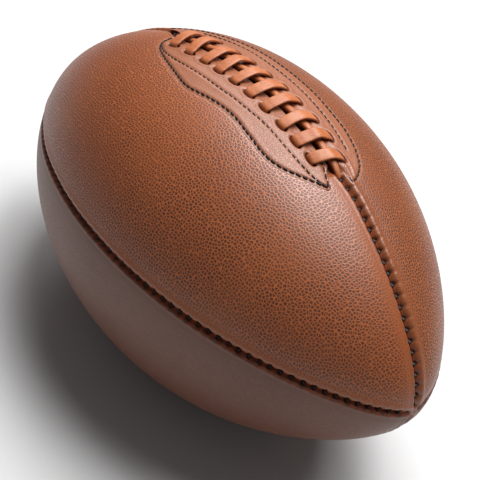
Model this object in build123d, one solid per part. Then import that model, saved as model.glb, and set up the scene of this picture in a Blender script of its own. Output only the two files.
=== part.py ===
from build123d import *
import os
import math

os.makedirs("parts", exist_ok=True)

# ---------------------------------------------------------------- driving sizes
half_length = 143.0          # centre of the ball to a tip, along X
belly_ratio = 0.5928         # equatorial radius / half length
taper_2 = -0.1243            # how fast the outline falls away from an ellipse
taper_4 = -0.1417
belly_radius = belly_ratio * half_length     # 84.8 mm

lace_seam = 90.0             # seam angles round X, measured from +Y toward +Z
panel_span_top = 80.0        # the two laced (upper) panels
seam_right = lace_seam + panel_span_top      # side seam on the -Y side
seam_left = lace_seam - panel_span_top       # side seam on the +Y side
seam_bottom = 270.0

leather = 2.2                # panel leather thickness
seam_gap = 0.05              # half the gap between two panels butted at a seam
flange_depth = 7.0           # seam allowance turned inward, from the outer surface
groove_radius = 3.2          # rounded valley over each seam
groove_lift = 1.2            # height of the groove centre over the surface
tip_clear = 4.2              # the groove stops this far from the ball axis
flange_clear = 3.6           # the seam allowance is trimmed this far from the ball axis

lining = 0.6                 # canvas lining glued inside each panel
lining_trim = 7.0            # the lining stops short of the tips, in degrees of the outline
skin_gap = 0.05              # clearance between stacked layers

stitch_pitch = 5.2           # saddle stitches along each seam
stitch_depth = 4.2           # stitch line below the outer surface
thread_dia = 0.9
thread_hole = 1.1
rail_height = 1.2            # stitch run seen from inside
rail_thick = 0.7
stitch_tip_clear = 8.0       # first and last stitch stand this far off the axis

slit_half_length = 58.0      # lacing slit in the upper seam
slit_half_width = 1.2
keyhole_radius = 3.0         # round end of the slit
keyhole_x = 57.0

facing = 1.4                 # raised leather facing either side of the slit
facing_outline = [(-66.0, 2.0), (-62.5, 8.5), (-58.0, 13.5), (-50.0, 18.0), (-40.0, 21.5),
                  (-30.0, 23.6), (-18.0, 24.8), (-5.0, 25.0), (8.0, 24.6), (20.0, 24.2),
                  (32.0, 23.8), (42.0, 22.2), (50.0, 19.3), (58.0, 14.2), (64.0, 8.0), (67.0, 2.0)]
thread_width = 0.9           # sewn row standing on the facing
thread_stand = 0.5
outer_row_inset = 1.6        # outer row in from the facing edge
inner_row_y = 14.0           # inner row, from the slit centre line

crossings = 10               # lace crossings over the slit
crossing_pitch = 11.35
first_crossing = -51.0
hole_y = 9.0                 # lace holes from the slit centre line
strap_width = 5.6
strap_thick = 1.6
hole_length = 6.6
hole_width = 2.8
strap_inside = 6.7           # depth of the lowest face of the strap inside the ball
return_top = 5.2             # top of the strap runs inside the ball

spine_width = 4.2            # lace running lengthways under the crossings
spine_height = 2.75
spine_end = 58.0
spine_leg_x = 56.4           # its ends turn down through the round slit ends
spine_leg = 3.0

reinforce = 1.1              # leather strip inside, each side of the slit
tongue_top = 7.2             # tongue between lacing and bladder
tongue_thick = 1.3
bladder = 0.5                # latex wall
bladder_depth = 9.8          # bladder skin below the outer surface, clear of the turned-in seams
bladder_drop = 2.6           # set down a little to leave room for the neck
neck_length = 34.0           # flattened neck
neck_width = 10.0
neck_thick = 1.8
neck_depth = 10.6
tie_length = 4.0             # twine bound round the neck
tie_thick = 0.8

# ---------------------------------------------------------------- outline of the ball


def radius_at(t):
    return belly_radius * math.sqrt(max(0.0, 1 - t * t)) * (1 + taper_2 * t ** 2 + taper_4 * t ** 4)


def outline(theta, off=0.0):
    """Point (x, r) on the outline offset along its normal, theta 0..180 degrees, tip to tip."""
    a = math.radians(theta)

    def pt(a):
        t = -math.cos(a)
        return half_length * t, belly_radius * math.sin(a) * (1 + taper_2 * t ** 2 + taper_4 * t ** 4)

    x, r = pt(a)
    e = 1e-5
    x1, r1 = pt(a + e)
    x0, r0 = pt(a - e)
    dx, dr = x1 - x0, r1 - r0
    m = math.hypot(dx, dr)
    return x - dr / m * off, r + dx / m * off, dx / m, dr / m


thetas = [180.0 * i / 1800 for i in range(1801)]
run = [0.0]
for i in range(1800):
    x0, r0, _, _ = outline(thetas[i])
    x1, r1, _, _ = outline(thetas[i + 1])
    run.append(run[-1] + math.hypot(x1 - x0, r1 - r0))
half_run = run[900]          # surface distance from tip to belly


def theta_of_x(x):
    return math.degrees(math.acos(-x / half_length))


def theta_of_run(s):
    s = min(max(s + half_run, 0.0), run[-1])
    lo, hi = 0, 1800
    while hi - lo > 1:
        mid = (lo + hi) // 2
        if run[mid] <= s:
            lo = mid
        else:
            hi = mid
    f = (s - run[lo]) / (run[hi] - run[lo])
    return thetas[lo] + f * (thetas[hi] - thetas[lo])


def run_of_x(x):
    th = theta_of_x(x)
    k = th / 0.1
    i = min(int(k), 1799)
    return run[i] + (k - i) * (run[i + 1] - run[i]) - half_run


def edge(off, start=0.0, end=180.0, count=17):
    """The outline as spline edges, split at the belly so that each piece stays short."""
    stops = [start] + [90.0] * (start < 90.0 < end) + [end]
    out = []
    for a, b in zip(stops, stops[1:]):
        pts, tan = [], []
        for i in range(count):
            x, r, tx, tr = outline(a + (b - a) * i / (count - 1), off)
            if a + (b - a) * i / (count - 1) in (0.0, 180.0):
                r = 0.0
            pts.append(Vector(x, 0, r))
            tan.append(Vector(tx, 0, tr))
        out.append(Spline(*pts, tangents=[tan[0], tan[-1]]))
    return out


def band(outer, inner, start=0.0, end=180.0, holes=None):
    """Face in the lace-seam plane between two offsets of the outline."""
    e1, e2 = edge(outer, start, end), edge(inner, start, end)
    sides = [Line(e1[-1] @ 1, e2[-1] @ 1), Line(e2[0] @ 0, e1[0] @ 0)]
    rim = Wire(e1 + e2 + sides)
    return Face(rim, [Wire([c]) for c in holes]) if holes else Face(rim)


def solid_of(off):
    e1 = edge(off)
    return revolve(Face(Wire(e1 + [Line(e1[-1] @ 1, e1[0] @ 0)])), Axis.X, 360)


def layer(outer, inner, first, last, start=0.0, end=180.0):
    """Skin between two offsets, over a range of angles round X."""
    return Rotation(first - lace_seam, 0, 0) * revolve(band(outer, inner, start, end), Axis.X, last - first)


def wedge(first, last, gap):
    """Prism between two seam planes, kept off both by a gap."""
    a1, a2 = math.radians(first), math.radians(last)
    mid, half = (a1 + a2) / 2, (a2 - a1) / 2
    d = gap / math.sin(half)
    ax, ay = d * math.cos(mid), d * math.sin(mid)
    reach = 260.0
    pts = [(ax, ay), (ax + reach * math.cos(a1), ay + reach * math.sin(a1))]
    pts.append((ax + 1.5 * reach * math.cos(mid), ay + 1.5 * reach * math.sin(mid)))
    pts.append((ax + reach * math.cos(a2), ay + reach * math.sin(a2)))
    face = Plane.YZ * make_face(Polyline(*pts, close=True))
    return extrude(face, 200, both=True)


def turned(shape, seam):
    return Rotation(seam - lace_seam, 0, 0) * shape


def side_of(face, near, far):
    """Push a seam-plane face sideways so it fills near..far from the seam plane; the sign is the side."""
    s = 1 if far > near else -1
    return extrude(Pos(0, near, 0) * face, abs(far - near), dir=(0, s, 0))


def at_surface(x, off=0.0):
    th = theta_of_x(x)
    px, pr, tx, tr = outline(th, off)
    return Vector(px, 0, pr), Vector(tx, 0, tr)


def across(x):
    """Sketch plane across the slit: local x is +Y, local y is the surface normal."""
    p, t = at_surface(x)
    return Plane(origin=p, x_dir=(0, 1, 0), z_dir=t)


def on_surface(x):
    """Sketch plane lying on the surface over the slit: local x along the ball, local y is +Y."""
    p, t = at_surface(x)
    n = Vector(-t.Z, 0, t.X)
    return Plane(origin=p, x_dir=t, z_dir=n)


def plan(points, low=0.0, high=140.0):
    """Upright prism over a closed plan outline."""
    return extrude(make_face(Polyline(*points, close=True)).moved(Location((0, 0, low))), high - low, dir=(0, 0, 1))


# ---------------------------------------------------------------- stitch stations
end_theta = 0.0
while outline(end_theta, -stitch_depth)[1] < stitch_tip_clear:
    end_theta += 0.1
end_run = half_run - run[int(end_theta / 0.1)]
lace_stop = run_of_x(slit_half_length + 6.0)


def stations(first, last):
    n = int(round((last - first) / stitch_pitch))
    return [first + (last - first) * i / n for i in range(n + 1)]


full_seam = stations(-end_run, end_run)
front_seam = stations(lace_stop, end_run)       # toward +X
rear_seam = stations(-end_run, -lace_stop)      # toward -X


def stitch_plane(s):
    x, r, _, _ = outline(theta_of_run(s), -stitch_depth)
    return Plane(origin=(x, 0, r), x_dir=(1, 0, 0), z_dir=(0, -1, 0))


def flange(stops_list, spans, side):
    """Turned-in seam allowance on one side of the seam plane, pierced for the stitches."""
    out = []
    for stops, (a, b) in zip(stops_list, spans):
        holes = [Edge.make_circle(thread_hole / 2, stitch_plane(s)) for s in stops]
        out.append(side_of(band(-0.9, -flange_depth, a, b, holes), 0.0, side * leather))
    return out


lace_theta = theta_of_x(slit_half_length + 2.0)
trim = 0.0
while outline(trim, -flange_depth)[1] < flange_clear:
    trim += 0.1
full_flanges = {s: flange([full_seam], [(trim, 180.0 - trim)], s) for s in (-1, 1)}
top_flanges = {s: flange([rear_seam, front_seam], [(trim, 180.0 - lace_theta), (lace_theta, 180.0 - trim)], s) for s in (-1, 1)}

# rounded valleys over the seams
groove_theta = 0.0
while outline(groove_theta)[1] < tip_clear:
    groove_theta += 0.1


def groove(start, end):
    path = Wire(edge(groove_lift, start, end))
    return sweep(Plane(origin=path @ 0, z_dir=path % 0) * Circle(groove_radius), path)


groove_stops = [groove_theta, 70.0, 110.0, 180.0 - groove_theta]
full_groove = [groove(a, b) for a, b in zip(groove_stops, groove_stops[1:])]
rear_groove = groove(groove_theta, 180.0 - lace_theta)
front_groove = groove(lace_theta, 180.0 - groove_theta)

# ---------------------------------------------------------------- cutters for the lacing
lace_x = [first_crossing + crossing_pitch * i for i in range(crossings)]

slit_cut = [Pos(0, 0, 60) * Box(2 * slit_half_length, 2 * slit_half_width, 80)]
slit_cut += [Pos(s * keyhole_x, 0, 60) * Cylinder(keyhole_radius, 80) for s in (-1, 1)]

hole_cut = {-1: [], 1: []}
for x in lace_x:
    for s in (-1, 1):
        slot = on_surface(x) * Pos(0, s * hole_y, 0) * SlotOverall(hole_length, hole_width)
        hole_cut[s].append(extrude(slot, 9.0, both=True))

# ---------------------------------------------------------------- panels and linings
parts = {}

panel_data = {
    "panel_top_right": (lace_seam, seam_right, -1),
    "panel_bottom_right": (seam_right, seam_bottom, 0),
    "panel_bottom_left": (seam_bottom, seam_left + 360.0, 0),
    "panel_top_left": (seam_left, lace_seam, 1),
}
for name, (first, last, laced) in panel_data.items():
    keep = wedge(first, last, seam_gap)
    body = layer(0.0, -leather, first - 3, last + 3) & keep
    edges = []
    for seam, side in ((first, -1), (last, 1)):
        source = top_flanges if seam == lace_seam else full_flanges
        edges += [turned(f, seam) & keep for f in source[side]]
    body = body + edges
    for seam in (first, last):
        if seam == lace_seam:
            body = body - rear_groove - front_groove
        else:
            for piece in full_groove:
                body = body - turned(piece, seam)
    cloth = layer(-leather - skin_gap, -leather - skin_gap - lining, first, last, lining_trim, 180.0 - lining_trim)
    cover = cloth & wedge(first, last, leather + 0.15)
    if laced:
        body = body - slit_cut - hole_cut[laced]
        cover = cover - slit_cut - hole_cut[laced]
    parts[name] = body
    parts["lining_" + name[6:]] = cover

# ---------------------------------------------------------------- seam threads


def seam_thread(stops):
    a = theta_of_run(stops[0]) - 0.5
    b = theta_of_run(stops[-1]) + 0.5
    run_face = band(-stitch_depth + rail_height / 2, -stitch_depth - rail_height / 2, a, b)
    inner = leather + 0.1
    rails = [side_of(run_face, s * inner, s * (inner + rail_thick)) for s in (-1, 1)]
    rungs = [extrude(stitch_plane(t) * Circle(thread_dia / 2), inner + rail_thick / 2, both=True) for t in stops]
    return rails[0] + rails[1] + rungs


front_thread = seam_thread(front_seam)
half_thread = seam_thread(full_seam[len(full_seam) // 2:])
full_thread = [half_thread, mirror(half_thread, Plane.YZ)]     # sewn in two lengths, from the belly to each tip
parts["seam_thread_top_front"] = front_thread
parts["seam_thread_top_rear"] = mirror(front_thread, Plane.YZ)
for tag, seam in (("right", seam_right), ("left", seam_left), ("bottom", seam_bottom)):
    parts["seam_thread_" + tag] = Compound([turned(h, seam).solid() for h in full_thread])

# ---------------------------------------------------------------- facings, their sewn rows, reinforcements
facing_layer = layer(facing, 0.02, 40, 140, 50.0, 130.0)
row_layer = layer(facing + 0.02 + thread_stand, facing + 0.02, 40, 140, 50.0, 130.0)
inside_layer = layer(-leather - lining - 2 * skin_gap - 0.02, -leather - lining - 2 * skin_gap - 0.02 - reinforce, 40, 140, 50.0, 130.0)


def smooth_outline(side, inset):
    pts = [Vector(x, side * (y - inset * 0.98)) for x, y in facing_outline[1:-1]]
    ends = [Vector(facing_outline[0][0] + inset, side * facing_outline[0][1]),
            Vector(facing_outline[-1][0] - inset, side * facing_outline[-1][1])]
    curve = Spline(ends[0], *pts, ends[1])
    return curve, ends


def leaf(side, inset, low):
    curve, ends = smooth_outline(side, inset)
    base = [Line(ends[1], (ends[1].X, side * low)), Line((ends[1].X, side * low), (ends[0].X, side * low)),
            Line((ends[0].X, side * low), ends[0])]
    return extrude(make_face([curve] + base), 130, dir=(0, 0, 1))


def sewn_rows(side):
    outer = leaf(side, outer_row_inset, 0.9) - leaf(side, outer_row_inset + thread_width, -1.0)
    inner_band = Pos(0, side * inner_row_y, 65) * Box(140, thread_width, 130)
    inner = leaf(side, outer_row_inset + 0.1, 0.9) & inner_band
    return outer + inner


for side, tag in ((-1, "right"), (1, "left")):
    flap = (facing_layer & leaf(side, 0.0, 0.2)) - slit_cut - hole_cut[side]
    parts["lace_facing_" + tag] = flap
    rows = row_layer & sewn_rows(side)
    parts["facing_thread_" + tag] = rows
    strip = Pos(0, side * 11.0, 65) * Box(126, 18.6, 130)
    parts["slit_reinforcement_" + tag] = (inside_layer & strip) - slit_cut - hole_cut[side]

# ---------------------------------------------------------------- lace
edge_in = hole_y - strap_thick / 2
edge_out = hole_y + strap_thick / 2
arch_in = facing + 0.1 + spine_height + 0.35
arch_out = arch_in + strap_thick
strap = None
for i, x in enumerate(lace_x):
    pl = across(x)
    outer = [Line((-edge_out, -strap_inside), (-edge_out, 2.0)),
             ThreePointArc((-edge_out, 2.0), (0, arch_out), (edge_out, 2.0)),
             Line((edge_out, 2.0), (edge_out, -strap_inside)),
             Line((edge_out, -strap_inside), (edge_in, -strap_inside)),
             Line((edge_in, -strap_inside), (edge_in, 1.6)),
             ThreePointArc((edge_in, 1.6), (0, arch_in), (-edge_in, 1.6)),
             Line((-edge_in, 1.6), (-edge_in, -strap_inside)),
             Line((-edge_in, -strap_inside), (-edge_out, -strap_inside))]
    hoop = extrude(pl * make_face(outer), strap_width / 2, both=True)
    strap = hoop if strap is None else strap + hoop
for i in range(crossings - 1):
    mid = (lace_x[i] + lace_x[i + 1]) / 2
    ang = math.degrees(math.atan2(-2 * hole_y, crossing_pitch))
    length = math.hypot(2 * hole_y, crossing_pitch) + 1.0
    pl = on_surface(mid)
    bar = pl * Pos(0, 0, -(return_top + strap_inside) / 2) * Rotation(0, 0, ang) * Box(length, strap_width, strap_inside - return_top)
    strap = strap + bar
parts["cross_lace"] = strap

# lengthways strand: lies on the facings under the crossings, both ends dive through the slit ends
strand_low = facing + 0.1
strand_face = band(strand_low + spine_height, strand_low, theta_of_x(-spine_end), theta_of_x(spine_end))
strand = side_of(strand_face, -spine_width / 2, spine_width / 2)
for side in (-1, 1):
    foot = at_surface(side * spine_leg_x)[0]
    strand = strand + Pos(foot.X, 0, foot.Z - 4.0 + 3.5) * Box(spine_leg, spine_leg + 0.6, 7.0)
parts["spine_lace"] = strand

# ---------------------------------------------------------------- tongue, bladder, neck
tongue_plan = extrude(RectangleRounded(130, 26, 8), 130, dir=(0, 0, 1))
parts["tongue"] = layer(-tongue_top, -tongue_top - tongue_thick, 40, 140, 50.0, 130.0) & tongue_plan



# four cut gores, tip to tip, meeting edge to edge
gores = []
for first in (45.0, 135.0, 225.0, 315.0):
    gores += layer(-bladder_depth, -bladder_depth - bladder, first + 0.03, first + 89.97, 5.0, 175.0).solids()
parts["bladder"] = Pos(0, 0, -bladder_drop) * Compound(gores)

# the neck is folded over, bound and tucked under the tongue
neck_z = belly_radius - neck_depth
parts["bladder_neck"] = Pos(0, 0, neck_z) * Box(neck_length, neck_width, neck_thick)
tie_outer = Box(tie_length, neck_width + 2 * tie_thick + 0.04, neck_thick + 2 * tie_thick + 0.04)
tie_inner = Box(tie_length + 2, neck_width + 0.04, neck_thick + 0.04)
parts["neck_tie"] = Pos(8.0, 0, neck_z) * (tie_outer - tie_inner)

# ---------------------------------------------------------------- stand the ball on its belly and write it out
low = min(p.bounding_box().min.Z for p in parts.values())
for name, shape in parts.items():
    solids = shape.solids()
    moved = Pos(0, 0, -low) * (solids[0] if len(solids) == 1 else Compound(solids))
    moved.label = name
    bb = moved.bounding_box()
    print(name, len(solids), [round(s.volume, 1) for s in solids][:5], "valid", moved.is_valid,
          [round(v, 2) for v in (bb.min.X, bb.min.Y, bb.min.Z, bb.max.X, bb.max.Y, bb.max.Z)])
    export_step(moved, "parts/" + name + ".step")
print("centre height", round(-low, 3), "seam stitches", len(full_seam), len(front_seam))
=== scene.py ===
import math

import bpy
import numpy as np
from mathutils import Matrix, Vector


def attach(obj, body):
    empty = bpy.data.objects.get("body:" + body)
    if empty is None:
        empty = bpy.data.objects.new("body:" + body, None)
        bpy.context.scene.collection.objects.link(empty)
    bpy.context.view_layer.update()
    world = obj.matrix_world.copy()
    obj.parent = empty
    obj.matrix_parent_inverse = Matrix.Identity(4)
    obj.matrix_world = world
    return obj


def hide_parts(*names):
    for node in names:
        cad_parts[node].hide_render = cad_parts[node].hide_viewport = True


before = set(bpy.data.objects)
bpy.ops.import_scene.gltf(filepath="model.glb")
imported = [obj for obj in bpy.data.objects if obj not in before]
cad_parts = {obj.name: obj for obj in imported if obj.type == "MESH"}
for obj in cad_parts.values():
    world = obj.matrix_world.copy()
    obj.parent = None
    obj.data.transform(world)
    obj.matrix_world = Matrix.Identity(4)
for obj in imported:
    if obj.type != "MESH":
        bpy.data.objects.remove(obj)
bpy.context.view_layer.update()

rng = np.random.default_rng(11)

# ---------------------------------------------------------------- form of the ball, mm
A = 143.0
B = 0.5928 * A
C2, C4 = -0.1243, -0.1417
HEIGHT = 84.72
SIDE = 168.3                    # side seam, degrees round X from +Y toward +Z
SIDE_FAR = 11.7
PITCH = 5.2                     # seam stitches


def radius(x):
    t = np.clip(np.asarray(x, float) / A, -1, 1)
    return B * np.sqrt(np.maximum(0, 1 - t * t)) * (1 + C2 * t ** 2 + C4 * t ** 4)


theta = np.linspace(0, np.pi, 8001)
tx = -A * np.cos(theta)
tr = radius(tx)
ts = np.r_[0, np.cumsum(np.hypot(np.diff(tx), np.diff(tr)))]
ts -= np.interp(np.pi / 2, theta, ts)
slope_x = np.gradient(tx, ts)
slope_r = np.gradient(tr, ts)


def of_run(s):
    """x, r and the unit tangent at a distance s along the surface from the belly."""
    return np.interp(s, ts, tx), np.interp(s, ts, tr), np.interp(s, ts, slope_x), np.interp(s, ts, slope_r)


def run_of(x):
    return np.interp(x, tx, ts)


def smooth(a, b, x):
    t = np.clip((x - a) / (b - a), 0, 1)
    return t * t * (3 - 2 * t)


def slit_line(x):
    """How far the lacing wanders sideways from the seam plane, +Y positive."""
    return (-3.4 + 0.030 * x) * smooth(76, 60, np.abs(x)) - 0.6 * smooth(60, 90, x) * smooth(140, 110, x)


def sink(x, lat):
    return -1.1 * np.exp(-((lat - slit_line(x)) / 13.0) ** 2) * smooth(68, 52, np.abs(x))


def place(x, lat, h):
    """World position (metres) of a point near the lacing: along, sideways on the surface, height over it."""
    x, lat, h = np.broadcast_arrays(np.asarray(x, float), np.asarray(lat, float), np.asarray(h, float))
    s = run_of(x)
    px, r, ux, ur = of_run(s)
    phi = np.pi / 2 - lat / np.maximum(r, 1e-3)
    off = h + sink(x, lat)
    nx, nr = -ur, ux
    rr = r + nr * off
    return np.stack([px + nx * off, rr * np.cos(phi), rr * np.sin(phi) + HEIGHT], -1) / 1000


def around(s, phi, off):
    px, r, ux, ur = of_run(s)
    rr = np.maximum(r + ux * off, 0)
    return np.stack([px - ur * off, rr * np.cos(phi), rr * np.sin(phi) + HEIGHT], -1) / 1000


# ---------------------------------------------------------------- lacing and sewing, mm: (along the ball, sideways)
HOLES_L = [(-51.1, -15.6), (-38.2, -15.8), (-26.4, -15.6), (-15.7, -15.1), (-4.7, -14.3), (6.4, -13.8), (17.6, -13.2), (30.0, -12.5), (40.6, -12.1), (51.0, -11.0)]
HOLES_R = [(-54.2, 3.4), (-42.6, 4.6), (-27.9, 4.2), (-16.6, 5.0), (-4.0, 5.1), (7.3, 6.0), (18.3, 6.3), (30.8, 6.5), (42.5, 6.6), (54.1, 5.0)]
OUTER_L = [(-60.4, -9.5), (-59.4, -15.5), (-53.5, -21.6), (-46.8, -24.7), (-36.0, -28.4), (-26.3, -30.9), (-19.4, -32.4), (-13.7, -32.7), (-8.6, -31.6), (-3.7, -30.4), (2.3, -29.1), (7.7, -28.2), (13.3, -27.6), (18.7, -27.6), (24.6, -28.1), (30.0, -28.2), (35.6, -28.4), (41.3, -27.9), (45.9, -26.5), (50.4, -24.1), (54.8, -20.7), (59.0, -17.2), (62.5, -14.1), (65.8, -10.7)]
INNER_L = [(-56.5, -19.0), (-47.2, -22.9), (-38.1, -24.1), (-28.8, -24.0), (-18.9, -23.5), (-9.1, -22.9), (-1.9, -22.4), (4.5, -21.4), (13.6, -20.4), (22.1, -19.0), (30.3, -18.3), (38.8, -17.9), (46.9, -17.1), (53.3, -16.0), (59.3, -14.6), (63.4, -12.8), (65.6, -11.0)]
END_L = [(52.6, -5.6), (56.4, -7.2), (59.8, -8.5), (63.3, -9.8), (65.8, -10.7)]
OUTER_R = [(-76.0, 1.0), (-72.0, 5.0), (-67.0, 8.4), (-61.8, 10.8), (-54.0, 13.2), (-45.8, 15.4), (-37.5, 17.3), (-29.4, 18.7), (-21.1, 19.6), (-11.8, 20.0), (-5.1, 20.3), (1.8, 20.5), (8.3, 20.7), (15.1, 20.7), (21.4, 20.4), (27.4, 20.0), (32.5, 19.8), (36.3, 19.6), (41.6, 19.0), (46.1, 18.1), (51.3, 16.6), (55.9, 14.6), (59.8, 12.4), (63.0, 9.2), (65.6, 5.6), (66.6, 3.2)]
INNER_R = [(-58.0, 7.6), (-48.0, 9.8), (-36.0, 11.8), (-23.9, 13.1), (-9.4, 13.6), (3.9, 14.0), (16.2, 14.1), (28.8, 13.6), (40.6, 12.5), (51.5, 10.9)]


def resample(points, step):
    """Even steps along a smooth curve through the points."""
    p = np.array(points, float)
    d = np.r_[0, np.cumsum(np.hypot(*np.diff(p, axis=0).T))]
    m = np.gradient(p, d, axis=0)
    q = np.arange(0, d[-1], 0.2)
    i = np.clip(np.searchsorted(d, q, "right") - 1, 0, len(d) - 2)
    h = (d[i + 1] - d[i])[:, None]
    t = ((q - d[i]) / h[:, 0])[:, None]
    c = (2 * t ** 3 - 3 * t ** 2 + 1) * p[i] + (t ** 3 - 2 * t ** 2 + t) * h * m[i] + (-2 * t ** 3 + 3 * t ** 2) * p[i + 1] + (t ** 3 - t ** 2) * h * m[i + 1]
    dd = np.r_[0, np.cumsum(np.hypot(*np.diff(c, axis=0).T))]
    n = max(2, int(round(dd[-1] / step)))
    g = np.linspace(0, dd[-1], n + 1)
    return np.stack([np.interp(g, dd, c[:, 0]), np.interp(g, dd, c[:, 1])], -1)


def line_distance(x, y, path):
    """Distance to a polyline."""
    p = resample(path, 1.0)
    best = np.full(x.shape, 1e9)
    for a, b in zip(p[:-1], p[1:]):
        d = b - a
        t = np.clip(((x - a[0]) * d[0] + (y - a[1]) * d[1]) / (d @ d), 0, 1)
        best = np.minimum(best, np.hypot(x - a[0] - t * d[0], y - a[1] - t * d[1]))
    return best


def inside(x, y, poly):
    p = np.array(poly, float)
    res = np.zeros(x.shape, bool)
    j = len(p) - 1
    for i in range(len(p)):
        hit = ((p[i, 1] > y) != (p[j, 1] > y)) & (x < (p[j, 0] - p[i, 0]) * (y - p[i, 1]) / (p[j, 1] - p[i, 1] + 1e-12) + p[i, 0])
        res ^= hit
        j = i
    return res


# ---------------------------------------------------------------- meshes
def make_mesh(name, verts, faces, attrs=None, material=None, smooth_shade=True, uv=None):
    me = bpy.data.meshes.new(name)
    me.from_pydata([tuple(v) for v in verts], [], faces)
    if uv is not None:
        layer = me.uv_layers.new(name="grain")
        idx = np.empty(len(me.loops), np.int32)
        me.loops.foreach_get("vertex_index", idx)
        layer.data.foreach_set("uv", (np.asarray(uv, np.float32).reshape(-1, 2)[idx] / 10.0).ravel())
    for key, values in (attrs or {}).items():
        at = me.attributes.new(key, "FLOAT", "POINT")
        at.data.foreach_set("value", np.asarray(values, np.float32).ravel())
    me.validate()
    if smooth_shade:
        me.polygons.foreach_set("use_smooth", [True] * len(me.polygons))
    me.update()
    ob = bpy.data.objects.new(name, me)
    bpy.context.scene.collection.objects.link(ob)
    if material:
        me.materials.append(material)
    return ob


def grid_faces(n, m, close=False, flip=False):
    i, j = np.meshgrid(np.arange(n - 1), np.arange(m if close else m - 1), indexing="ij")
    k = (j + 1) % m
    f = np.stack([i * m + j, i * m + k, (i + 1) * m + k, (i + 1) * m + j], -1).reshape(-1, 4)
    if flip:
        f = f[:, ::-1]
    return f.tolist()


def wave(s, seed):
    """Slow irregularity along a seam, about -1 to 1."""
    r = np.random.default_rng(seed)
    out = np.zeros_like(s)
    for k in range(1, 9):
        out += r.normal() * np.sin(s / (7.0 + 5.0 * k) * 2 * np.pi / 2 + r.uniform(0, 6.3)) / math.sqrt(k + 1)
    return out / 1.6


def stitch_phase(s, seed=0):
    """0 at a stitch, 0.5 midway between stitches."""
    ph = (s / PITCH + 0.5 + 0.06 * wave(s, 70 + seed)) % 1.0
    return np.minimum(ph, 1 - ph)


def seam_profile(d, s, kind, seed, gain):
    """Height at distance d (mm) from a seam. kind 'rim' is the rolled edge side, 'pucker' the gathered side."""
    ph = stitch_phase(s, seed)
    at = np.exp(-(ph / 0.17) ** 2)                # pinched at each stitch
    between = 1 - at
    w = wave(s, seed)
    if kind == "rim":
        h = -1.9 * np.exp(-(d / 1.15) ** 1.6) - 0.75 * np.exp(-(d / 3.6) ** 2) + 0.42 * np.exp(-((d - 2.3) / 0.95) ** 2)
        h += (-1.1 * at + 0.30 * between) * np.exp(-(d / 1.5) ** 2)
        h += 0.10 * w * np.exp(-(d / 4.0) ** 2)
    else:
        h = -1.7 * np.exp(-(d / 1.25) ** 1.6) - 0.5 * np.exp(-(d / 5.0) ** 2) + 0.55 * np.exp(-((d - 3.0) / 1.7) ** 2)
        h += (-0.8 * at + 0.20 * between) * np.exp(-(d / 1.7) ** 2)
        h += (-0.07 * at + 0.05 * between) * np.exp(-((d - 2.6) / 1.6) ** 2) * (1 + 0.6 * w)
        h += 0.14 * w * np.exp(-((d - 3.5) / 3.0) ** 2)
    return h * gain


def edge_set(s, kind, seed):
    """How far the edge stands back from the seam line: open at the stitches, closed between them."""
    ph = stitch_phase(s, seed)
    at = np.exp(-(ph / 0.165) ** 2)
    big = 1.0 if kind == "pucker" else 0.62
    return 0.07 + big * at * (1 + 0.18 * wave(s, seed + 5))


RIM_SIDE = {}


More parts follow.
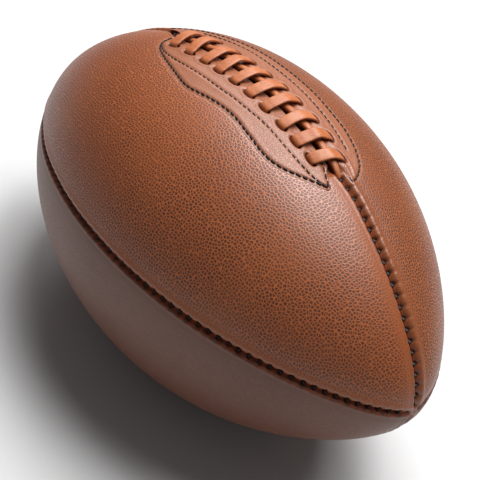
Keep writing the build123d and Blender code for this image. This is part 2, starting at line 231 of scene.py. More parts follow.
def panel(name, low, high, kinds, material, rows=700):
    """One leather panel from tip to tip between two seams. low and high give the seam angle (degrees) at x; kinds is the edge type at each."""
    s = np.linspace(ts[0] + 0.02, ts[-1] - 0.02, rows)
    px, r, ux, ur = of_run(s)
    a = np.radians(low(px))
    b = np.radians(high(px))
    width = r * (b - a)
    gain = np.clip(r / 9.0, 0.12, 1)
    edge = np.array([0, 0.16, 0.34, 0.55, 0.8, 1.1, 1.45, 1.85, 2.3, 2.8, 3.35, 3.95, 4.6, 5.4, 6.4])
    mid = np.linspace(0, 1, 66)[1:-1]
    zone = np.minimum(edge[-1], width * 0.28)
    k = zone / edge[-1]
    cols = []
    for e in edge:
        cols.append(e * k)
    for m in mid:
        cols.append(zone + m * (width - 2 * zone))
    for e in edge[::-1]:
        cols.append(width - e * k)
    lat = np.stack(cols, 1)                       # distance from the low seam, (rows, cols)
    S = np.repeat(s[:, None], lat.shape[1], 1)
    X = np.repeat(px[:, None], lat.shape[1], 1)
    Rr = np.repeat(r[:, None], lat.shape[1], 1)
    G = np.repeat(gain[:, None], lat.shape[1], 1)
    d1, d2 = lat, width[:, None] - lat
    h = np.zeros_like(lat)
    shift = np.zeros_like(lat)
    fade = np.zeros_like(lat)
    rim = np.zeros_like(lat)
    for d, kind, sign, seed, lace in ((d1, kinds[0][0], 1, kinds[0][1], kinds[0][2]), (d2, kinds[1][0], -1, kinds[1][1], kinds[1][2])):
        live = smooth(58, 63, np.abs(X)) if lace else 1.0
        h += seam_profile(d, S, kind, seed, G) * live
        e = edge_set(S, kind, seed) * G
        shift += sign * e * np.exp(-(d / 1.1) ** 2) * live
        fade = np.maximum(fade, np.exp(-(d / (6.5 if kind == "rim" else 5.0)) ** 2) * live)
        # rim mask for the rolled-edge colour: partly the edge's own orange, partly painted highlight where the raised
        # edge catches light
        if kind == "rim":
            ph = stitch_phase(S, seed)
            rim = np.maximum(rim, smooth(3.0, 1.9, d + 0.35 * np.exp(-(ph / 0.2) ** 2)) * live)
        else:
            rim = np.maximum(rim, 0.55 * smooth(1.7, 0.6, d) * live)
    # place the columns round the ball; near the lacing the leather sinks a little
    latx = lat + shift
    phi = a[:, None] + latx / np.maximum(Rr, 0.05)
    sideways = (np.pi / 2 - phi) * Rr
    near = np.abs(sideways) < 60
    h += np.where(near, sink(X, sideways), 0)
    # under the facings the panel lies lower, out of the way of the lace holes
    under = np.zeros_like(h)
    for leaf in (LEAF_L, LEAF_R):
        m = near & (np.abs(X) < 80)
        xi, yi = X[m], sideways[m]
        ins = inside(xi, yi, leaf)
        dist = line_distance(xi, yi, leaf)
        u = np.where(ins, smooth(0.5, 2.6, dist), 0)
        under[m] = np.maximum(under[m], u)
    mid_gap = smooth(10.5, 8.0, np.abs(sideways - slit_line(X))) * smooth(62.5, 58, np.abs(X))
    under = np.maximum(under, np.where(near, mid_gap, 0))
    h -= 2.1 * under
    # the sewn rows draw the leather down
    if laced_panel(low, high):
        for path in (OUTER_L, OUTER_R):
            m = near & (np.abs(X) < 80)
            dist = line_distance(X[m], sideways[m], path)
            h[m] -= 0.16 * np.exp(-(dist / 1.0) ** 2)
            fade[m] = np.maximum(fade[m], 0.30 * np.exp(-(dist / 2.5) ** 2))
        # a crease from the last lace hole
        for crease in (((56.0, 5.6), (61.5, 5.4), (67.5, 3.4)),):
            m = near & (np.abs(X) < 80)
            dist = line_distance(X[m], sideways[m], crease)
            h[m] += 0.35 * np.exp(-(dist / 1.2) ** 2)
    P = around(S, phi, h)
    # turned-in edges
    def wall(col, other_sign, depth, pull):
        return around(s, phi[:, col] + other_sign * pull / np.maximum(r, 0.5), h[:, col] - depth * gain)
    left = [wall(0, -1, 3.6, 0.0), wall(0, -1, 1.2, 0.0)]
    right = [wall(-1, 1, 1.2, 0.0), wall(-1, 1, 3.6, 0.0)]
    allp = np.concatenate([np.stack(left, 1), P, np.stack(right, 1)], 1)
    pad = np.zeros((rows, 2))
    # painted shade: the turned-in walls down inside each seam are fully darkened, so they show almost black
    painted_shade = np.concatenate([pad + np.array([1, 1.0]), np.zeros_like(h), pad + np.array([1.0, 1])], 1)
    # the bottom of each stitch hole is in shadow
    ph0 = stitch_phase(S, kinds[0][1])
    ph1 = stitch_phase(S, kinds[1][1])
    hole = np.maximum(np.exp(-(ph0 / 0.15) ** 2) * smooth(0.5, 0.05, d1), np.exp(-(ph1 / 0.15) ** 2) * smooth(0.5, 0.05, d2))
    live = np.ones_like(h)
    painted_shade[:, 2:-2] = np.maximum(painted_shade[:, 2:-2], 0.9 * hole * live)
    fa = np.concatenate([pad + 1, fade, pad + 1], 1)
    ri = np.concatenate([pad, rim, pad], 1)
    faces = grid_faces(rows, allp.shape[1], flip=False)
    mid_lat = lat - width[:, None] / 2
    mid_lat = np.concatenate([mid_lat[:, :1], mid_lat[:, :1], mid_lat, mid_lat[:, -1:], mid_lat[:, -1:]], 1)
    uv = np.stack([np.repeat(s[:, None], mid_lat.shape[1], 1), mid_lat], -1)
    ob = make_mesh(name, allp.reshape(-1, 3), faces, {"painted_shade": painted_shade, "fade": fa, "rim": ri}, material, uv=uv)
    return ob


def laced_panel(low, high):
    return abs(low(0.0) - 90) < 6 or abs(high(0.0) - 90) < 6


def closed_leaf(outer, inner_side):
    return list(map(tuple, resample(outer, 2.0))) + inner_side


# facing outlines: the sewn row plus a narrow margin, closed along the slit
def grow(path, out, cx, cy):
    p = resample(path, 1.5)
    t = np.gradient(p, axis=0)
    t /= np.hypot(*t.T)[:, None]
    n = np.stack([t[:, 1], -t[:, 0]], -1)
    side = np.sign(((p - np.array([cx, cy])) * n).sum(1))
    return p + out * n * side[:, None]


edge_l = grow(OUTER_L, 1.3, 0.0, -14.0)
edge_r = grow(OUTER_R, 1.3, 0.0, 8.0)
xs = np.linspace(-58, 56, 40)
slit_l = [(x, slit_line(x) - 1.5) for x in xs]
slit_r = [(x, slit_line(x) + 1.3) for x in xs]
LEAF_L = [tuple(p) for p in edge_l] + [(62.0, -7.8), (58.5, -5.8)] + slit_l[::-1]
LEAF_R = [tuple(p) for p in edge_r] + slit_r[::-1]


def outline_sides(side):
    """Both edges of a facing as functions of x: slit edge and outer edge."""
    if side < 0:
        e = np.array(edge_l)
        inner = np.array([(-61.5, -9.0)] + slit_l + [(58.5, -5.6), (62.0, -7.6), (67.0, -10.4)])
    else:
        e = np.array(edge_r)
        inner = np.array([(-77.0, 0.2)] + [(-70, -0.8)] + slit_r + [(60.0, 1.2), (67.6, 2.4)])
    return e, inner


def facing(name, side, material):
    """Leather facing one side of the slit, thinned to nothing at its sewn edge, dented at each lace hole."""
    e, inner = outline_sides(side)
    lo = max(e[:, 0].min(), inner[:, 0].min()) + 0.02
    hi = min(e[:, 0].max(), inner[:, 0].max()) - 0.02
    n, m = 420, 74
    u = np.linspace(0, 1, n)
    # outer edge by length, slit edge by matching x
    d = np.r_[0, np.cumsum(np.hypot(*np.diff(e, axis=0).T))]
    q = u * d[-1]
    ex, ey = np.interp(q, d, e[:, 0]), np.interp(q, d, e[:, 1])
    di = np.r_[0, np.cumsum(np.hypot(*np.diff(inner, axis=0).T))]
    qi = u * di[-1]
    # match by x for the inner edge
    ix = np.interp(u, np.linspace(0, 1, len(e)), np.clip(e[:, 0], inner[0, 0], inner[-1, 0]))
    ix = np.interp(q, d, np.clip(e[:, 0], inner[0, 0], inner[-1, 0]))
    ix = np.maximum.accumulate(ix)
    iy = np.interp(ix, inner[:, 0], inner[:, 1])
    w = np.r_[np.linspace(0, 0.12, 9)[:-1], np.linspace(0.12, 1, m - 8)]
    X = ix[:, None] * (1 - w) + ex[:, None] * w
    Y = iy[:, None] * (1 - w) + ey[:, None] * w
    dist_in = w[None, :] * np.hypot(ex - ix, ey - iy)[:, None]
    dist_out = line_distance(X, Y, [tuple(p) for p in e[::2]])
    h = 0.42 * smooth(0.0, 2.2, dist_out) + 0.02
    h += 0.25 * smooth(3.0, 12.0, dist_out)
    roll = np.exp(-(dist_in / 0.9) ** 2) * smooth(66, 56, np.abs(X))
    h -= 1.9 * roll
    # painted shade along the edge where the facing rolls down into the slit
    painted_shade = smooth(0.9, 0.2, dist_in) * smooth(62, 56, np.abs(X))
    fade = np.zeros_like(h) + 0.0
    rows = (OUTER_L, INNER_L, END_L) if side < 0 else (OUTER_R, INNER_R)
    for path in rows:
        dist = line_distance(X, Y, path)
        h -= 0.22 * np.exp(-(dist / 0.75) ** 2)
        h += 0.07 * np.exp(-((dist - 1.7) / 1.0) ** 2)
    for i, (hx, hy) in enumerate(HOLES_L if side < 0 else HOLES_R):
        ox = hx
        oy = hy - 0.2 * side
        rr = np.hypot((X - ox) / 3.75, (Y - oy) / 1.95)
        h -= 1.9 * smooth(1.12, 0.72, rr)
        h += 0.22 * np.exp(-((rr - 1.45) / 0.4) ** 2)
        # painted shade inside each lace hole
        painted_shade = np.maximum(painted_shade, smooth(1.06, 0.86, rr))
    h += 0.10 * np.sin(X / 5.7 + 0.6 * np.sin(Y / 4.0)) * smooth(0, 6, dist_out) * 0.6
    if side > 0:
        # creases beyond the last lace hole
        for crease in (((54.8, 6.8), (59.0, 7.2), (64.5, 5.2)), ((57.0, 3.9), (61.0, 3.8), (66.0, 2.6))):
            dist = line_distance(X, Y, crease)
            h += 0.42 * np.exp(-(dist / 0.85) ** 2)
    P = place(X, Y, h)
    faces = grid_faces(n, m, flip=side < 0)
    return make_mesh(name, P.reshape(-1, 3), faces, {"painted_shade": painted_shade, "fade": fade, "rim": np.zeros_like(h)}, material, uv=np.stack([X, Y], -1))


def tube_mesh(path, across, up, section, caps=True):
    """Sweep a closed section (k,2) along path (n,3) with unit across and up vectors at each point. section may be (n,k,2)."""
    n = len(path)
    sec = np.asarray(section, float)
    if sec.ndim == 2:
        sec = np.repeat(sec[None], n, 0)
    k = sec.shape[1]
    P = path[:, None] + sec[..., 0:1] * across[:, None] + sec[..., 1:2] * up[:, None]
    faces = grid_faces(n, k, close=True)
    if caps:
        faces.append(list(range(k)))
        faces.append(list(range((n - 1) * k + k - 1, (n - 1) * k - 1, -1)))
    return P.reshape(-1, 3), faces


def super_section(w, t, power=2.6, k=20):
    a = np.linspace(0, 2 * np.pi, k, endpoint=False)
    c, s = np.cos(a), np.sin(a)
    return np.stack([w / 2 * np.sign(c) * np.abs(c) ** (2 / power), t / 2 * np.sign(s) * np.abs(s) ** (2 / power)], -1)


def catmull(p, n):
    p = np.array(p, float)
    d = np.r_[0, np.cumsum(np.linalg.norm(np.diff(p, axis=0), axis=1))]
    m = np.gradient(p, d, axis=0)
    q = np.linspace(0, d[-1], n)
    i = np.clip(np.searchsorted(d, q, "right") - 1, 0, len(d) - 2)
    h = (d[i + 1] - d[i])[:, None]
    t = ((q - d[i]) / h[:, 0])[:, None]
    return (2 * t ** 3 - 3 * t ** 2 + 1) * p[i] + (t ** 3 - 2 * t ** 2 + t) * h * m[i] + (-2 * t ** 3 + 3 * t ** 2) * p[i + 1] + (t ** 3 - t ** 2) * h * m[i + 1]


def unit(v):
    return v / np.maximum(np.linalg.norm(v, axis=-1, keepdims=True), 1e-9)


def lace_straps(material):
    verts, faces, along, sidew, painted_shade = [], [], [], [], []
    base = 0
    for i, ((lx, ly), (rx, ry)) in enumerate(zip(HOLES_L, HOLES_R)):
        r = np.random.default_rng(100 + i)
        half = (ry - ly) / 2
        top = 4.05 + 0.2 * r.normal()
        pts = [(-half - 0.1, -2.4), (-half - 0.05, -0.8), (-half + 0.35, 0.75), (-half * 0.72, 2.05), (-half * 0.30, 3.45), (half * 0.10, top), (half * 0.48, 3.15), (half * 0.80, 1.75), (half - 0.2, 0.55), (half + 0.1, -0.9), (half + 0.1, -2.4)]
        c = catmull(pts, 64)
        f = (c[:, 0] + half) / (2 * half)
        mid = (ly + ry) / 2
        x = lx + (rx - lx) * np.clip(f, 0, 1) + 0.25 * np.sin(f * 3.1) * r.normal()
        y = mid + c[:, 0]
        P = place(x, y, c[:, 1])
        tan = unit(np.gradient(P, axis=0))
        ahead = place(x + 0.5, y, c[:, 1]) - P
        acr = unit(ahead - (ahead * tan).sum(1, keepdims=True) * tan)
        up = unit(np.cross(tan, acr))
        width = 6.0 * (1 - 0.10 * smooth(0.55, 1.0, f)) * (1 + 0.03 * r.normal())
        wl = width * (1 - 0.10 * np.exp(-((f - 0.0) / 0.05) ** 2))
        sec = []
        for j in range(64):
            s2 = super_section(wl[j] / 1000, 1.75 / 1000, 2.9, 24)
            s2[:, 1] += -0.18e-3 * (s2[:, 0] / (wl[j] / 2000)) ** 2      # edges curl down a little
            sec.append(s2)
        v, fc = tube_mesh(P, acr, up, np.array(sec))
        verts.append(v)
        faces += [[q + base for q in fa] for fa in fc]
        base += len(v)
        along.append(np.repeat(f * 0.02 + i * 0.1, 24))
        sidew.append(np.tile(super_section(1, 1, 2.9, 24)[:, 0], 64))
        # painted shade on the lace where it dips below the surface into a hole
        into_hole_shade = np.maximum(smooth(-0.3, -1.6, c[:, 1]), 0)
        painted_shade.append(np.repeat(into_hole_shade, 24))
    return make_mesh("lace_crossings", np.concatenate(verts), faces, {"along": np.concatenate(along), "sidew": np.concatenate(sidew), "painted_shade": np.concatenate(painted_shade)}, material)


def spine(material):
    xs = np.r_[-58.5, -57.0, -54.5, np.linspace(-50, 52, 35), 56.0, 58.8, 61.2, 63.0]
    y = slit_line(xs) + 0.9 + 0.45 * np.sin(xs / 5.6 + 1.0)
    hh = 0.95 + 0.35 * np.sin(xs / 11.35 * 2 * np.pi + 0.6)
    hh[:3] = [-2.6, -0.6, 0.7]
    hh[-4:] = [0.9, 0.0, -1.3, -2.8]
    y[-3:] = slit_line(xs[-3:]) + 0.4
    P = place(xs, y, hh)
    P = catmull(P * 1000, 300) / 1000
    tan = unit(np.gradient(P, axis=0))
    side = np.zeros_like(P)
    side[:, 1] = 1
    acr = unit(side - (side * tan).sum(1, keepdims=True) * tan)
    up = unit(np.cross(tan, acr))
    s = np.linspace(0, 1, 300)
    w = 3.7 * (1 - 0.15 * np.exp(-(s / 0.03) ** 2) - 0.3 * np.exp(-((1 - s) / 0.04) ** 2)) / 1000
    sec = np.stack([super_section(a, 2.7e-3 * (a / 3.7e-3), 2.3, 18) for a in w])
    v, f = tube_mesh(P, acr, up, sec)
    L = len(P)
    # painted shade at both ends, where the lace goes down into the slit
    into_hole_shade = np.repeat(np.maximum(smooth(0.02, 0.0, s), smooth(0.985, 1.0, s)), 18)
    return make_mesh("lace_lengthways", v, f, {"along": np.repeat(s * 0.12, 18), "sidew": np.tile(super_section(1, 1, 2.3, 18)[:, 0], L), "painted_shade": into_hole_shade}, material)


def capsule(p, q, up, w, t, k=8, n=9):
    """A small rounded stitch from p to q."""
    a = np.linspace(0, 1, n)
    c = p + (q - p) * a[:, None]
    L = np.linalg.norm(q - p)
    tan = (q - p) / L
    acr = np.cross(tan, up)
    acr /= np.linalg.norm(acr)
    prof = np.sqrt(np.maximum(0, 1 - (2 * a - 1) ** 4)) * 0.98 + 0.02
    c = c + up * (0.22 * t * np.sin(np.pi * a))[:, None]
    th = np.linspace(0, 2 * np.pi, k, endpoint=False)
    P = c[:, None] + prof[:, None, None] * (w / 2 * np.cos(th)[None, :, None] * acr + t / 2 * np.sin(th)[None, :, None] * up)
    f = grid_faces(n, k, close=True)
    f.append(list(range(k)))
    f.append(list(range(n * k - 1, (n - 1) * k - 1, -1)))
    return P.reshape(-1, 3), f


def sewn(name, paths, material, step=3.15, seed=1):
    r = np.random.default_rng(seed)
    verts, faces, base = [], [], 0
    for path in paths:
        p = resample(path, step)
        for a, b in zip(p[:-1], p[1:]):
            d = (b - a)
            n = np.array([-d[1], d[0]]) / np.hypot(*d)
            tilt = 0.20 + 0.06 * r.normal()
            g0, g1 = 0.07 + 0.02 * r.normal(), 0.93 + 0.02 * r.normal()
            pa = a + d * g0 + n * tilt
            pb = a + d * g1 - n * tilt
            P0 = place(pa[0], pa[1], 0.30)
            P1 = place(pb[0], pb[1], 0.30)
            m = (a + b) / 2
            up = unit(place(m[0], m[1], 2.0) - place(m[0], m[1], 0.0))
            v, f = capsule(P0, P1, up, (0.86 + 0.05 * r.normal()) / 1000, 0.72e-3)
            verts.append(v)
            faces += [[q + base for q in fa] for fa in f]
            base += len(v)
    return make_mesh(name, np.concatenate(verts), faces, None, material)


def seam_thread(name, seam, spans, seed, material):
    """Short black loops crossing the seam in each stitch hole."""
    verts, faces, base = [], [], 0
    r = np.random.default_rng(seed)
    for lo, hi in spans:
        for k in range(-40, 41):
            s0 = (k + 0.5) * PITCH
            # find the stitch nearest this station
            ss = np.linspace(s0 - 2, s0 + 2, 81)
            s0 = ss[np.argmin(stitch_phase(ss, seed))]
            x, rr, ux, ur = of_run(np.array([s0]))
            if not (lo < x[0] < hi) or rr[0] < 7:
                continue
            ph = math.radians(float(seam(x[0])))
            w = 1.5
            pts = []
            for t in np.linspace(-1, 1, 9):
                depth = -1.8 - 1.6 * t * t
                pts.append(around(np.array([s0 + 0.25 * t]), np.array([ph + t * w / rr[0]]), np.array([depth]))[0])
            P = np.array(pts)
            tan = unit(np.gradient(P, axis=0))
            ax = np.array([[1.0, 0, 0]]) * np.ones((9, 1))
            acr = unit(ax - (ax * tan).sum(1, keepdims=True) * tan)
            up = np.cross(tan, acr)
            v, f = tube_mesh(P, acr, up, super_section(2.2e-3, 0.7e-3, 2, 12))
            verts.append(v)
            faces += [[q + base for q in fa] for fa in f]
            base += len(v)
    return make_mesh(name, np.concatenate(verts), faces, None, material)


def inner_skin(name, x0, x1, y0, y1, depth, material):
    """Soft layer under the lacing, following the leather above it."""
    n, m = 120, 40
    X, Y = np.meshgrid(np.linspace(x0, x1, n), np.linspace(y0, y1, m), indexing="ij")
    top = place(X, Y, -depth - 0.25 * np.exp(-((Y - slit_line(X)) / 6) ** 2))
    bot = place(X, Y, -depth - 0.8)
    v = np.concatenate([top.reshape(-1, 3), bot.reshape(-1, 3)])
    f = grid_faces(n, m, flip=False) + [[q + n * m for q in fa[::-1]] for fa in grid_faces(n, m)]
    ring = [i * m for i in range(n)] + [(n - 1) * m + j for j in range(1, m)] + [i * m + m - 1 for i in range(n - 2, -1, -1)] + [j for j in range(m - 2, 0, -1)]
    for a, b in zip(ring, ring[1:] + ring[:1]):
        f.append([a, b, b + n * m, a + n * m])
    return make_mesh(name, v, f, None, material)


# ---------------------------------------------------------------- materials
class Tree:
    def __init__(self, name):
        self.mat = bpy.data.materials.new(name)
        self.mat.use_nodes = True
        self.t = self.mat.node_tree
        self.t.nodes.clear()
        self.out = self.t.nodes.new("ShaderNodeOutputMaterial")
        self.sh = self.t.nodes.new("ShaderNodeBsdfPrincipled")
        self.link(self.sh.outputs[0], self.out.inputs[0])

    def n(self, kind, **kw):
        node = self.t.nodes.new(kind)
        for k, v in kw.items():
            setattr(node, k, v)
        return node

    def link(self, a, b):
        self.t.links.new(a, b)

    def put(self, sock, v):
        if hasattr(v, "is_output") or isinstance(v, bpy.types.NodeSocket):
            self.link(v, sock)
        else:
            sock.default_value = v

    def math(self, op, a, b=0.0, c=None, clamp=False):
        m = self.n("ShaderNodeMath", operation=op, use_clamp=clamp)
        self.put(m.inputs[0], a)
        self.put(m.inputs[1], b)
        if c is not None:
            self.put(m.inputs[2], c)
        return m.outputs[0]

    def ramp(self, v, lo, hi, a=0.0, b=1.0, smooth_=True):
        m = self.n("ShaderNodeMapRange", interpolation_type="SMOOTHSTEP" if smooth_ else "LINEAR")
        self.put(m.inputs[0], v)
        m.inputs[1].default_value = lo
        m.inputs[2].default_value = hi
        m.inputs[3].default_value = a
        m.inputs[4].default_value = b
        return m.outputs[0]

    def mix(self, f, a, b):
        m = self.n("ShaderNodeMix", data_type="RGBA")
        self.put(m.inputs[0], f)
        for sock, v in ((m.inputs[6], a), (m.inputs[7], b)):
            if isinstance(v, (tuple, list)):
                sock.default_value = tuple(v) + ((1.0,) if len(v) == 3 else ())
            else:
                self.link(v, sock)
        return m.outputs[2]

    def coords(self, scale=(1, 1, 1), rot=(0, 0, 0)):
        c = self.n("ShaderNodeTexCoord")
        m = self.n("ShaderNodeMapping")
        m.inputs["Scale"].default_value = scale
        m.inputs["Rotation"].default_value = rot
        self.link(c.outputs["Object"], m.inputs["Vector"])
        return m.outputs[0]

    def noise(self, vec, scale, detail=3.0, rough=0.5):
        t = self.n("ShaderNodeTexNoise")
        self.link(vec, t.inputs["Vector"])
        t.inputs["Scale"].default_value = scale
        t.inputs["Detail"].default_value = detail
        t.inputs["Roughness"].default_value = rough
        return t

    def attr(self, name):
        a = self.n("ShaderNodeAttribute", attribute_name=name)
        return a.outputs["Fac"]


def leather(name, dark_col, light_col, rim_edge_highlight_col, pitch=2.1, contrast=1.0, rough=0.42, bump=0.5, fine=0.0, streak=0.0, specks=0.0, spec=0.5, flat=True, far_soft=True):
    T = Tree(name)
    v = T.coords()
    if flat:
        uvn = T.n("ShaderNodeUVMap", uv_map="grain")
        base = uvn.outputs[0]
        unit_scale = 10.0
        dims = "2D"
    else:
        base = v
        unit_scale = 1000.0
        dims = "3D"
    # warp, so that the pebbles aren't regular
    wn = T.noise(v, 220, 2.0)
    amt = 0.45 / (1000.0 if not flat else 10.0)
    add = T.n("ShaderNodeVectorMath", operation="MULTIPLY_ADD")
    T.link(wn.outputs["Color"], add.inputs[0])
    add.inputs[1].default_value = (amt, amt, amt if not flat else 0.0)
    T.link(base, add.inputs[2])
    vor = T.n("ShaderNodeTexVoronoi", feature="DISTANCE_TO_EDGE", voronoi_dimensions=dims)
    vf = T.n("ShaderNodeTexVoronoi", feature="F1", voronoi_dimensions=dims)
    for t in (vor, vf):
        T.link(add.outputs[0], t.inputs["Vector"])
        t.inputs["Scale"].default_value = unit_scale / pitch
        t.inputs["Randomness"].default_value = 0.85
    # a round dark pit in the middle of each cell, a lighter net between
    net = T.ramp(vor.outputs["Distance"], 0.05, 0.22)
    cell = T.math("MULTIPLY", net, T.ramp(vf.outputs["Distance"], 0.72, 0.38))
    micro = T.noise(v, 1300, 2.0)
    mid = T.noise(v, 60, 4.0)
    low = T.noise(v, 17, 3.0)
    fade = T.attr("fade")
    rim = T.attr("rim")
    painted_shade = T.attr("painted_shade")
    patch = T.ramp(low.outputs["Fac"], 0.33, 0.66, 0.75, 1.0)
    amount = T.math("MULTIPLY", T.math("MULTIPLY", T.math("SUBTRACT", 1.0, T.math("MULTIPLY", fade, 0.8)), contrast), patch, clamp=True)
    grain = T.math("MULTIPLY", cell, amount)
    col = T.mix(grain, light_col, dark_col)
    # where the grain fades, the colour settles between the two
    mean = tuple(0.52 * a + 0.48 * b for a, b in zip(light_col, dark_col))
    col = T.mix(T.math("SUBTRACT", 1.0, amount, clamp=True), col, mean)
    tone = T.ramp(mid.outputs["Fac"], 0.3, 0.7, 0.0, 1.0)
    col = T.mix(T.math("MULTIPLY", tone, 0.18), col, tuple(c * 0.62 for c in light_col))
    broad = T.ramp(low.outputs["Fac"], 0.42, 0.7, 0.0, 0.35)
    col = T.mix(broad, col, tuple(c * k for c, k in zip(mean, (0.95, 0.85, 0.78))))
    if streak:
        sv = T.coords((14, 170, 170), (0.0, 0.35, 0.3))
        sn = T.noise(sv, 3.0, 4.0, 0.6)
        col = T.mix(T.math("MULTIPLY", T.ramp(sn.outputs["Fac"], 0.45, 0.75), streak), col, tuple(min(1, c * 1.35) for c in light_col))
    if specks:
        sp = T.n("ShaderNodeTexVoronoi", feature="F1")
        T.link(v, sp.inputs["Vector"])
        sp.inputs["Scale"].default_value = 1000.0 / 1.3
        col = T.mix(T.math("MULTIPLY", T.ramp(sp.outputs["Distance"], 0.30, 0.12), specks), col, tuple(c * 0.35 for c in dark_col))
    col = T.mix(T.math("MULTIPLY", T.ramp(micro.outputs["Fac"], 0.45, 0.75), 0.18), col, tuple(c * 0.5 for c in light_col))
    # rolled seam edge colour, partly its own orange and partly painted highlight of the raised edge
    rn = T.noise(v, 420, 3.0)
    rim_edge_highlight_mix = T.mix(T.ramp(rn.outputs["Fac"], 0.35, 0.65), rim_edge_highlight_col, tuple(c * 0.45 for c in rim_edge_highlight_col))
    col = T.mix(T.math("MULTIPLY", rim, 0.9), col, rim_edge_highlight_mix)
    # painted shade: the mask from the meshes turns the colour almost black in seam gaps and in stitch and lace holes
    col = T.mix(painted_shade, col, (0.004, 0.003, 0.003))
    T.link(col, T.sh.inputs["Base Color"])
    rr = T.math("ADD", T.math("MULTIPLY", T.math("SUBTRACT", grain, 0.4), 0.14), rough)
    rr = T.math("ADD", rr, T.math("MULTIPLY", painted_shade, 0.45), clamp=True)
    T.link(rr, T.sh.inputs["Roughness"])
    T.sh.inputs["Specular IOR Level"].default_value = spec
    height = T.math("MULTIPLY", T.math("SUBTRACT", 1.0, cell), amount)
    height = T.math("ADD", height, T.math("MULTIPLY", micro.outputs["Fac"], 0.25 + fine))
    height = T.math("ADD", height, T.math("MULTIPLY", mid.outputs["Fac"], 0.5))
    b = T.n("ShaderNodeBump")
    b.inputs["Strength"].default_value = bump
    b.inputs["Distance"].default_value = 0.00022
    T.link(height, b.inputs["Height"])
    T.link(b.outputs[0], T.sh.inputs["Normal"])
    return T.mat


def lace_leather(name):
    T = Tree(name)
    v = T.coords()
    al = T.attr("along")
    sd = T.attr("sidew")
    comb = T.n("ShaderNodeCombineXYZ")
    T.put(comb.inputs[0], T.math("MULTIPLY", al, 160.0))
    T.put(comb.inputs[1], T.math("MULTIPLY", sd, 9.0))
    fib = T.noise(comb.outputs[0], 2.2, 5.0, 0.65)
    spot = T.noise(v, 700, 3.0, 0.6)
    low = T.noise(v, 90, 2.0)
    base = T.mix(T.ramp(fib.outputs["Fac"], 0.3, 0.7), (0.50, 0.155, 0.050), (0.32, 0.080, 0.024))
    base = T.mix(T.math("MULTIPLY", T.ramp(spot.outputs["Fac"], 0.5, 0.72), 0.5), base, (0.17, 0.047, 0.018))
    base = T.mix(T.ramp(low.outputs["Fac"], 0.4, 0.7, 0.0, 0.35), base, (0.52, 0.20, 0.085))
    edge = T.ramp(T.math("ABSOLUTE", sd), 0.42, 0.5)
    base = T.mix(T.math("MULTIPLY", edge, 0.45), base, (0.20, 0.055, 0.022))
    # painted shade where the lace goes down into the holes
    base = T.mix(T.attr("painted_shade"), base, (0.006, 0.003, 0.002))
    T.link(base, T.sh.inputs["Base Color"])
    T.sh.inputs["Roughness"].default_value = 0.47
    T.sh.inputs["Specular IOR Level"].default_value = 0.45
    hgt = T.math("ADD", T.math("MULTIPLY", fib.outputs["Fac"], 0.8), T.math("MULTIPLY", spot.outputs["Fac"], 0.6))
    b = T.n("ShaderNodeBump")
    b.inputs["Strength"].default_value = 0.45
    b.inputs["Distance"].default_value = 0.00025
    T.link(hgt, b.inputs["Height"])
    T.link(b.outputs[0], T.sh.inputs["Normal"])
    return T.mat


def thread_mat(name, col=(0.006, 0.005, 0.005), rough=0.5):
    T = Tree(name)
    v = T.coords()
    n1 = T.noise(v, 1400, 2.0)
    w = T.n("ShaderNodeTexWave")
    T.link(v, w.inputs["Vector"])
    w.inputs["Scale"].default_value = 420
    w.inputs["Distortion"].default_value = 3
    c = T.mix(T.ramp(n1.outputs["Fac"], 0.4, 0.7), col, tuple(min(1, k * 2.5 + 0.004) for k in col))
    T.link(c, T.sh.inputs["Base Color"])
    T.sh.inputs["Roughness"].default_value = rough
    T.sh.inputs["Specular IOR Level"].default_value = 0.25
    b = T.n("ShaderNodeBump")
    b.inputs["Strength"].default_value = 0.6
    b.inputs["Distance"].default_value = 0.0001
    T.link(w.outputs["Fac"], b.inputs["Height"])
    T.link(b.outputs[0], T.sh.inputs["Normal"])
    return T.mat


def cloth_mat(name, a, b_, scale=900):
    T = Tree(name)
    v = T.coords()
    w1 = T.n("ShaderNodeTexWave", bands_direction="X")
    w2 = T.n("ShaderNodeTexWave", bands_direction="Y")
    for w in (w1, w2):
        T.link(v, w.inputs["Vector"])
        w.inputs["Scale"].default_value = scale / 6
    weave = T.math("MULTIPLY", w1.outputs["Fac"], w2.outputs["Fac"])
    n1 = T.noise(v, 120, 3.0)
    c = T.mix(weave, b_, a)
    c = T.mix(T.ramp(n1.outputs["Fac"], 0.4, 0.7, 0, 0.3), c, b_)
    T.link(c, T.sh.inputs["Base Color"])
    T.sh.inputs["Roughness"].default_value = 0.85
    bp = T.n("ShaderNodeBump")
    bp.inputs["Strength"].default_value = 0.4
    bp.inputs["Distance"].default_value = 0.0003
    T.link(weave, bp.inputs["Height"])
    T.link(bp.outputs[0], T.sh.inputs["Normal"])
    return T.mat


# rolled seam edge: partly the edge's own orange, partly painted highlight where the raised edge catches light
RIM_EDGE_AND_HIGHLIGHT = (0.30, 0.068, 0.022)
M_MAIN = leather("leather_main", (0.060, 0.012, 0.004), (0.400, 0.110, 0.032), RIM_EDGE_AND_HIGHLIGHT, pitch=1.5, contrast=1.1, spec=0.6, rough=0.42, bump=0.25)
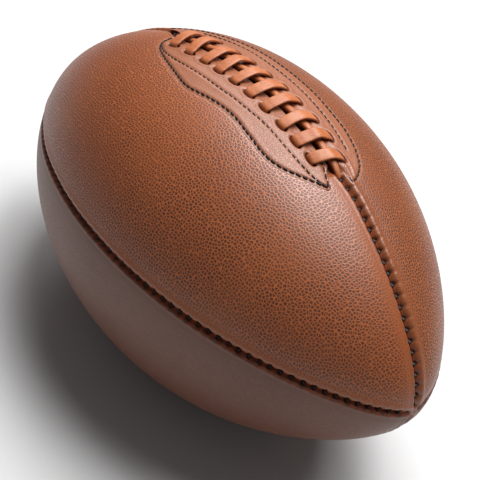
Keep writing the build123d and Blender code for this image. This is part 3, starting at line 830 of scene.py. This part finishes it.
# lower panels: a darker, greyer copy of the panel leather, painted shade for the side that faces down; the streaks and
# softer grain are the leather's own
M_LOWER_SHADED = leather("leather_lower_painted_shade", (0.085, 0.028, 0.015), (0.200, 0.074, 0.040), RIM_EDGE_AND_HIGHLIGHT, pitch=1.5, contrast=0.7, streak=0.25, rough=0.5, spec=0.6)
M_FAR = leather("leather_far", (0.035, 0.009, 0.004), (0.340, 0.094, 0.026), RIM_EDGE_AND_HIGHLIGHT, pitch=1.45, contrast=1.1, spec=0.6, bump=0.3)
M_FACE = leather("leather_facing", (0.140, 0.042, 0.020), (0.370, 0.125, 0.054), RIM_EDGE_AND_HIGHLIGHT, pitch=1.1, contrast=0.7, specks=0.6, rough=0.44, bump=0.3, spec=0.5)
M_LACE = lace_leather("lace_leather")
M_THREAD = thread_mat("waxed_thread")
M_CANVAS = cloth_mat("canvas", (0.10, 0.085, 0.06), (0.05, 0.042, 0.03))
M_TWINE = cloth_mat("twine", (0.30, 0.23, 0.14), (0.16, 0.12, 0.07), 1500)
M_LATEX = leather("latex", (0.10, 0.03, 0.02), (0.14, 0.045, 0.03), RIM_EDGE_AND_HIGHLIGHT, pitch=6.0, contrast=0.3, rough=0.6, flat=False)
M_TONGUE = leather("tongue_leather", (0.03, 0.014, 0.008), (0.06, 0.026, 0.014), RIM_EDGE_AND_HIGHLIGHT, contrast=0.4, flat=False)

# ---------------------------------------------------------------- build
def lace_angle(x):
    r = np.maximum(radius(x), 4.0)
    return 90.0 - np.degrees(slit_line(np.asarray(x, float)) / r)


def side_angle(x):
    return SIDE + 0 * np.asarray(x, float)


def far_angle(x):
    return SIDE_FAR + 0 * np.asarray(x, float)


def bottom_angle(x):
    return 270.0 + 0 * np.asarray(x, float)


ps = {}
ps["panel_top_right"] = panel("leather_panel_upper_near", lace_angle, side_angle, (("rim", 1, True), ("pucker", 2, False)), M_MAIN)
ps["panel_bottom_right"] = panel("leather_panel_lower_near", side_angle, bottom_angle, (("rim", 2, False), ("pucker", 3, False)), M_LOWER_SHADED)
ps["panel_bottom_left"] = panel("leather_panel_lower_far", bottom_angle, lambda x: far_angle(x) + 360.0, (("rim", 3, False), ("pucker", 4, False)), M_LOWER_SHADED)
ps["panel_top_left"] = panel("leather_panel_upper_far", far_angle, lace_angle, (("rim", 4, False), ("pucker", 1, True)), M_FAR)
slots = {}
for node, ob in ps.items():
    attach(ob, "root")
    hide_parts(node)

pieces = [
    (facing("lace_facing_near", -1, M_FACE), ("lace_facing_right",), "facing_leather"),
    (facing("lace_facing_far", 1, M_FACE), ("lace_facing_left",), "facing_leather"),
    (sewn("facing_stitches_near", (OUTER_L, INNER_L, END_L), M_THREAD, seed=3), ("facing_thread_right",), "thread"),
    (sewn("facing_stitches_far", (OUTER_R, INNER_R), M_THREAD, seed=4), ("facing_thread_left",), "thread"),
    (lace_straps(M_LACE), ("cross_lace",), "lace_leather"),
    (spine(M_LACE), ("spine_lace",), "lace_leather"),
    (seam_thread("seam_stitches_side_near", side_angle, ((-150, 150),), 2, M_THREAD), (), "thread"),
    (seam_thread("seam_stitches_upper_front", lace_angle, ((63, 150),), 1, M_THREAD), (), "thread"),
    (seam_thread("seam_stitches_upper_rear", lace_angle, ((-150, -63),), 1, M_THREAD), (), "thread"),
    (seam_thread("seam_stitches_side_far", far_angle, ((-150, 150),), 4, M_THREAD), (), "thread"),
    (seam_thread("seam_stitches_lower", bottom_angle, ((-150, 150),), 3, M_THREAD), (), "thread"),
    (inner_skin("reinforcement_near", -62, 62, -26.0, -3.2, 3.9, M_CANVAS), ("slit_reinforcement_right", "lining_top_right"), "canvas"),
    (inner_skin("reinforcement_far", -62, 62, 0.4, 20.0, 3.9, M_CANVAS), ("slit_reinforcement_left", "lining_top_left"), "canvas"),
]
for ob, nodes, slot in pieces:
    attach(ob, "root")
    if nodes:
        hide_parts(*nodes)

looks = {"lining": M_CANVAS, "seam_thread": M_THREAD, "tongue": M_TONGUE, "bladder": M_LATEX, "neck_tie": M_TWINE}
for node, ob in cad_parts.items():
    for key, mat in looks.items():
        if node.startswith(key):
            ob.data.materials.clear()
            ob.data.materials.append(mat)

# ---------------------------------------------------------------- floor, lights, camera
def stage_plane():
    T = Tree("floor_paper")
    v = T.coords()
    n1 = T.noise(v, 6, 3)
    T.link(T.mix(n1.outputs["Fac"], (0.62, 0.62, 0.62), (0.66, 0.66, 0.66)), T.sh.inputs["Base Color"])
    T.sh.inputs["Roughness"].default_value = 0.9
    T.sh.inputs["Specular IOR Level"].default_value = 0.2
    s = 4.0
    ob = make_mesh("floor", [(-s, -s, 0), (s, -s, 0), (s, s, 0), (-s, s, 0)], [[0, 1, 2, 3]], None, T.mat, False)


stage_plane()

RIGHT = Vector((0.5824, 0.78549, 0.20933)).normalized()
DOWN = Vector((0.60279, -0.24453, -0.75951)).normalized()
FWD = Vector((-0.54539, 0.56852, -0.6159)).normalized()
CENTRE = Vector((0, 0, HEIGHT / 1000))


def area(name, direction, dist, size, power, colour=(1, 1, 1), size_y=None):
    d = Vector(direction).normalized()
    li = bpy.data.lights.new(name, "AREA")
    li.energy = power
    li.color = colour
    li.shape = "RECTANGLE"
    li.size = size
    li.size_y = size_y or size
    ob = bpy.data.objects.new(name, li)
    ob.location = CENTRE + d * dist
    ob.rotation_euler = (-d).to_track_quat("-Z", "Y").to_euler()
    bpy.context.scene.collection.objects.link(ob)
    return ob


def cam_dir(r, u, b):
    return RIGHT * r + (-DOWN) * u + (-FWD) * b


area("key", cam_dir(0.30, 0.88, 0.36), 1.15, 0.62, 15.0)
area("key_near", cam_dir(0.52, 0.64, 0.56), 1.15, 0.60, 9.0)
area("top_far", cam_dir(0.10, 0.98, -0.15), 1.15, 0.55, 3.2)

world = bpy.data.worlds.new("studio")
bpy.context.scene.world = world
world.use_nodes = True
world.node_tree.nodes["Background"].inputs[0].default_value = (0.96, 0.97, 1.0, 1)
world.node_tree.nodes["Background"].inputs[1].default_value = 0.12
bpy.context.scene.view_settings.view_transform = "Standard"
bpy.context.scene.view_settings.look = "None"

cam = bpy.data.cameras.new("camera")
cam.sensor_width = 36.0
cam.lens = 1063.82 / 480.0 * 36.0
cam.clip_start = 0.01
cam.dof.use_dof = False
co = bpy.data.objects.new("camera", cam)
C = Vector((0.3085, -0.3086, 0.3308 + HEIGHT / 1000))
m = Matrix.Identity(4)
for r in range(3):
    m[r][0] = RIGHT[r]
    m[r][1] = -DOWN[r]
    m[r][2] = -FWD[r]
    m[r][3] = C[r]
co.matrix_world = m
bpy.context.scene.collection.objects.link(co)
bpy.context.scene.camera = co
